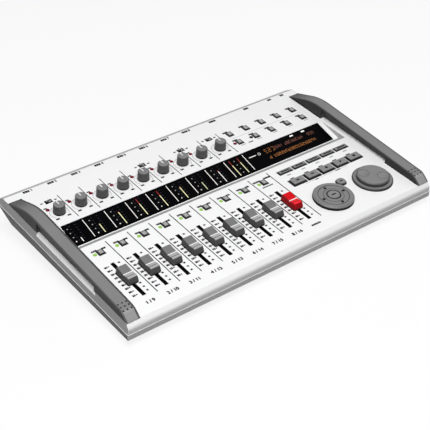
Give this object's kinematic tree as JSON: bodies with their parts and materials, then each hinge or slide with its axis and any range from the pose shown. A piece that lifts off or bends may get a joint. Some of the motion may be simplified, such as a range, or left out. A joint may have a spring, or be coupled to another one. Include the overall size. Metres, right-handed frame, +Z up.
{
  "type": "multitrack recorder",
  "caption": "Desktop multitrack recorder and control surface: sloping white deck with faders, knobs, a sunken display strip, cursor pad, jog dial and grip rails, jacks behind.",
  "frame": {"origin": "under the middle of the whole object, on the plane that the feet stand on", "axes": "+X to the user's right, +Y away from the user, +Z up"},
  "size_m": [0.374, 0.2328, 0.0517],
  "materials": {
    "cover_white": "white moulded deck, satin",
    "case_grey": "grey moulded lower case, satin",
    "rail_grey": "dark grey grip rails, fine grain",
    "panel_grey": "grey rear panel",
    "window_black": "smoked black display window",
    "board_green": "circuit board",
    "steel": "plated steel",
    "jack_black": "black jack moulding",
    "lamp": "lamp lens",
    "rubber": "black rubber",
    "knob_grey": "dark grey knob",
    "cap_grey": "grey fader cap",
    "cap_red": "red fader cap",
    "key_grey": "grey key",
    "dial_grey": "grey dial",
    "switch_black": "black switch lever"
  },
  "bodies": {
    "base": {"top_cover": "cover_white", "bottom_case": "case_grey", "rear_panel": "panel_grey", "left_rail": "rail_grey", "right_rail": "rail_grey", "display_window": "window_black", "display_module": "board_green", "control_boards": "board_green", "slide_pots": "steel", "rotary_pots": "steel", "combo_jacks": "jack_black", "rear_sockets": "jack_black", "side_ports": "steel", "mic_capsules": "steel", "indicator_lamps": "lamp", "battery_contacts": "steel", "rubber_feet": "rubber", "case_screws": "steel"},
    "knob_1": {"knob_1": "knob_grey"},
    "knob_2": {"knob_2": "knob_grey"},
    "knob_3": {"knob_3": "knob_grey"},
    "knob_4": {"knob_4": "knob_grey"},
    "knob_5": {"knob_5": "knob_grey"},
    "knob_6": {"knob_6": "knob_grey"},
    "knob_7": {"knob_7": "knob_grey"},
    "knob_8": {"knob_8": "knob_grey"},
    "knob_9": {"knob_9": "knob_grey"},
    "fader_1": {"fader_1": "cap_grey"},
    "fader_2": {"fader_2": "cap_grey"},
    "fader_3": {"fader_3": "cap_grey"},
    "fader_4": {"fader_4": "cap_grey"},
    "fader_5": {"fader_5": "cap_grey"},
    "fader_6": {"fader_6": "cap_grey"},
    "fader_7": {"fader_7": "cap_grey"},
    "fader_8": {"fader_8": "cap_grey"},
    "fader_9": {"fader_9": "cap_red"},
    "channel_key_1": {"channel_key_1": "key_grey"},
    "channel_key_2": {"channel_key_2": "key_grey"},
    "channel_key_3": {"channel_key_3": "key_grey"},
    "channel_key_4": {"channel_key_4": "key_grey"},
    "channel_key_5": {"channel_key_5": "key_grey"},
    "channel_key_6": {"channel_key_6": "key_grey"},
    "channel_key_7": {"channel_key_7": "key_grey"},
    "channel_key_8": {"channel_key_8": "key_grey"},
    "channel_key_9": {"channel_key_9": "key_grey"},
    "transport_key_1": {"transport_key_1": "key_grey"},
    "transport_key_2": {"transport_key_2": "key_grey"},
    "transport_key_3": {"transport_key_3": "key_grey"},
    "transport_key_4": {"transport_key_4": "key_grey"},
    "transport_key_5": {"transport_key_5": "key_grey"},
    "function_keys_rear": {"function_keys_rear": "key_grey"},
    "function_keys_front": {"function_keys_front": "key_grey"},
    "soft_keys": {"soft_keys": "key_grey"},
    "round_key": {"round_key": "key_grey"},
    "enter_key": {"enter_key": "key_grey"},
    "cursor_pad": {"cursor_pad": "dial_grey"},
    "jog_dial": {"jog_dial": "dial_grey"},
    "slide_switches": {"slide_switches": "switch_black"},
    "power_switch": {"power_switch": "switch_black"},
    "battery_door": {"battery_door": "case_grey"}
  },
  "joints": [
    {"name": "knob_1_turn", "type": "hinge", "parent": "base", "child": "knob_1", "pos_m": [-0.1518, 0.04913, 0.03975], "axis": [0, -0.0906, 0.9959], "range_deg": [-150, 150]},
    {"name": "knob_2_turn", "type": "hinge", "parent": "base", "child": "knob_2", "pos_m": [-0.12744, 0.04913, 0.03975], "axis": [0, -0.0906, 0.9959], "range_deg": [-150, 150]},
    {"name": "knob_3_turn", "type": "hinge", "parent": "base", "child": "knob_3", "pos_m": [-0.10308, 0.04913, 0.03975], "axis": [0, -0.0906, 0.9959], "range_deg": [-150, 150]},
    {"name": "knob_4_turn", "type": "hinge", "parent": "base", "child": "knob_4", "pos_m": [-0.07872, 0.04913, 0.03975], "axis": [0, -0.0906, 0.9959], "range_deg": [-150, 150]},
    {"name": "knob_5_turn", "type": "hinge", "parent": "base", "child": "knob_5", "pos_m": [-0.05436, 0.04913, 0.03975], "axis": [0, -0.0906, 0.9959], "range_deg": [-150, 150]},
    {"name": "knob_6_turn", "type": "hinge", "parent": "base", "child": "knob_6", "pos_m": [-0.03, 0.04913, 0.03975], "axis": [0, -0.0906, 0.9959], "range_deg": [-150, 150]},
    {"name": "knob_7_turn", "type": "hinge", "parent": "base", "child": "knob_7", "pos_m": [-0.00564, 0.04913, 0.03975], "axis": [0, -0.0906, 0.9959], "range_deg": [-150, 150]},
    {"name": "knob_8_turn", "type": "hinge", "parent": "base", "child": "knob_8", "pos_m": [0.01872, 0.04913, 0.03975], "axis": [0, -0.0906, 0.9959], "range_deg": [-150, 150]},
    {"name": "knob_9_turn", "type": "hinge", "parent": "base", "child": "knob_9", "pos_m": [0.04308, 0.04913, 0.03975], "axis": [0, -0.0906, 0.9959], "range_deg": [-150, 150]},
    {"name": "fader_1_slide", "type": "slide", "parent": "base", "child": "fader_1", "axis": [0, 0.9959, 0.0906], "range_m": [-0.0239, 0.0212]},
    {"name": "fader_2_slide", "type": "slide", "parent": "base", "child": "fader_2", "axis": [0, 0.9959, 0.0906], "range_m": [-0.0239, 0.0212]},
    {"name": "fader_3_slide", "type": "slide", "parent": "base", "child": "fader_3", "axis": [0, 0.9959, 0.0906], "range_m": [-0.0239, 0.0212]},
    {"name": "fader_4_slide", "type": "slide", "parent": "base", "child": "fader_4", "axis": [0, 0.9959, 0.0906], "range_m": [-0.0239, 0.0212]},
    {"name": "fader_5_slide", "type": "slide", "parent": "base", "child": "fader_5", "axis": [0, 0.9959, 0.0906], "range_m": [-0.0239, 0.0212]},
    {"name": "fader_6_slide", "type": "slide", "parent": "base", "child": "fader_6", "axis": [0, 0.9959, 0.0906], "range_m": [-0.0239, 0.0212]},
    {"name": "fader_7_slide", "type": "slide", "parent": "base", "child": "fader_7", "axis": [0, 0.9959, 0.0906], "range_m": [-0.0239, 0.0212]},
    {"name": "fader_8_slide", "type": "slide", "parent": "base", "child": "fader_8", "axis": [0, 0.9959, 0.0906], "range_m": [-0.0239, 0.0212]},
    {"name": "fader_9_slide", "type": "slide", "parent": "base", "child": "fader_9", "axis": [0, 0.9959, 0.0906], "range_m": [-0.0239, 0.0212]},
    {"name": "channel_key_1_press", "type": "slide", "parent": "base", "child": "channel_key_1", "axis": [0, 0.0906, -0.9959], "range_m": [0, 0.0007], "stiffness_N_per_m": 400, "springref_m": -0.0005},
    {"name": "channel_key_2_press", "type": "slide", "parent": "base", "child": "channel_key_2", "axis": [0, 0.0906, -0.9959], "range_m": [0, 0.0007], "stiffness_N_per_m": 400, "springref_m": -0.0005},
    {"name": "channel_key_3_press", "type": "slide", "parent": "base", "child": "channel_key_3", "axis": [0, 0.0906, -0.9959], "range_m": [0, 0.0007], "stiffness_N_per_m": 400, "springref_m": -0.0005},
    {"name": "channel_key_4_press", "type": "slide", "parent": "base", "child": "channel_key_4", "axis": [0, 0.0906, -0.9959], "range_m": [0, 0.0007], "stiffness_N_per_m": 400, "springref_m": -0.0005},
    {"name": "channel_key_5_press", "type": "slide", "parent": "base", "child": "channel_key_5", "axis": [0, 0.0906, -0.9959], "range_m": [0, 0.0007], "stiffness_N_per_m": 400, "springref_m": -0.0005},
    {"name": "channel_key_6_press", "type": "slide", "parent": "base", "child": "channel_key_6", "axis": [0, 0.0906, -0.9959], "range_m": [0, 0.0007], "stiffness_N_per_m": 400, "springref_m": -0.0005},
    {"name": "channel_key_7_press", "type": "slide", "parent": "base", "child": "channel_key_7", "axis": [0, 0.0906, -0.9959], "range_m": [0, 0.0007], "stiffness_N_per_m": 400, "springref_m": -0.0005},
    {"name": "channel_key_8_press", "type": "slide", "parent": "base", "child": "channel_key_8", "axis": [0, 0.0906, -0.9959], "range_m": [0, 0.0007], "stiffness_N_per_m": 400, "springref_m": -0.0005},
    {"name": "channel_key_9_press", "type": "slide", "parent": "base", "child": "channel_key_9", "axis": [0, 0.0906, -0.9959], "range_m": [0, 0.0007], "stiffness_N_per_m": 400, "springref_m": -0.0005},
    {"name": "transport_key_1_press", "type": "slide", "parent": "base", "child": "transport_key_1", "axis": [0, 0.0906, -0.9959], "range_m": [0, 0.0007], "stiffness_N_per_m": 400, "springref_m": -0.0005},
    {"name": "transport_key_2_press", "type": "slide", "parent": "base", "child": "transport_key_2", "axis": [0, 0.0906, -0.9959], "range_m": [0, 0.0007], "stiffness_N_per_m": 400, "springref_m": -0.0005},
    {"name": "transport_key_3_press", "type": "slide", "parent": "base", "child": "transport_key_3", "axis": [0, 0.0906, -0.9959], "range_m": [0, 0.0007], "stiffness_N_per_m": 400, "springref_m": -0.0005},
    {"name": "transport_key_4_press", "type": "slide", "parent": "base", "child": "transport_key_4", "axis": [0, 0.0906, -0.9959], "range_m": [0, 0.0007], "stiffness_N_per_m": 400, "springref_m": -0.0005},
    {"name": "transport_key_5_press", "type": "slide", "parent": "base", "child": "transport_key_5", "axis": [0, 0.0906, -0.9959], "range_m": [0, 0.0007], "stiffness_N_per_m": 400, "springref_m": -0.0005},
    {"name": "function_keys_rear_press", "type": "slide", "parent": "base", "child": "function_keys_rear", "axis": [0, 0.0906, -0.9959], "range_m": [0, 0.0007], "stiffness_N_per_m": 400, "springref_m": -0.0005},
    {"name": "function_keys_front_press", "type": "slide", "parent": "base", "child": "function_keys_front", "axis": [0, 0.0906, -0.9959], "range_m": [0, 0.0007], "stiffness_N_per_m": 400, "springref_m": -0.0005},
    {"name": "soft_keys_press", "type": "slide", "parent": "base", "child": "soft_keys", "axis": [0, 0.0906, -0.9959], "range_m": [0, 0.0007], "stiffness_N_per_m": 400, "springref_m": -0.0005},
    {"name": "round_key_press", "type": "slide", "parent": "base", "child": "round_key", "axis": [0, 0.0906, -0.9959], "range_m": [0, 0.0007], "stiffness_N_per_m": 400, "springref_m": -0.0005},
    {"name": "enter_key_press", "type": "slide", "parent": "base", "child": "enter_key", "axis": [0, 0.0906, -0.9959], "range_m": [0, 0.0007], "stiffness_N_per_m": 400, "springref_m": -0.0005},
    {"name": "cursor_pad_tilt", "type": "hinge", "parent": "base", "child": "cursor_pad", "pos_m": [0.0844, -0.07927, 0.02073], "axis": [1, 0, 0], "range_deg": [-1.5, 1.5], "stiffness_Nm_per_rad": 1.5},
    {"name": "jog_dial_turn", "type": "hinge", "parent": "base", "child": "jog_dial", "pos_m": [0.1396, -0.07894, 0.02809], "axis": [0, -0.0906, 0.9959], "continuous": true},
    {"name": "slide_switches_slide", "type": "slide", "parent": "base", "child": "slide_switches", "axis": [1, 0, 0], "range_m": [0, 0.0032]},
    {"name": "power_switch_slide", "type": "slide", "parent": "base", "child": "power_switch", "axis": [1, 0, 0], "range_m": [0, 0.0044]},
    {"name": "battery_door_swing", "type": "hinge", "parent": "base", "child": "battery_door", "pos_m": [0, 0.0116, 0.0045], "axis": [-1, 0, 0], "range_deg": [0, 100]}
  ]
}
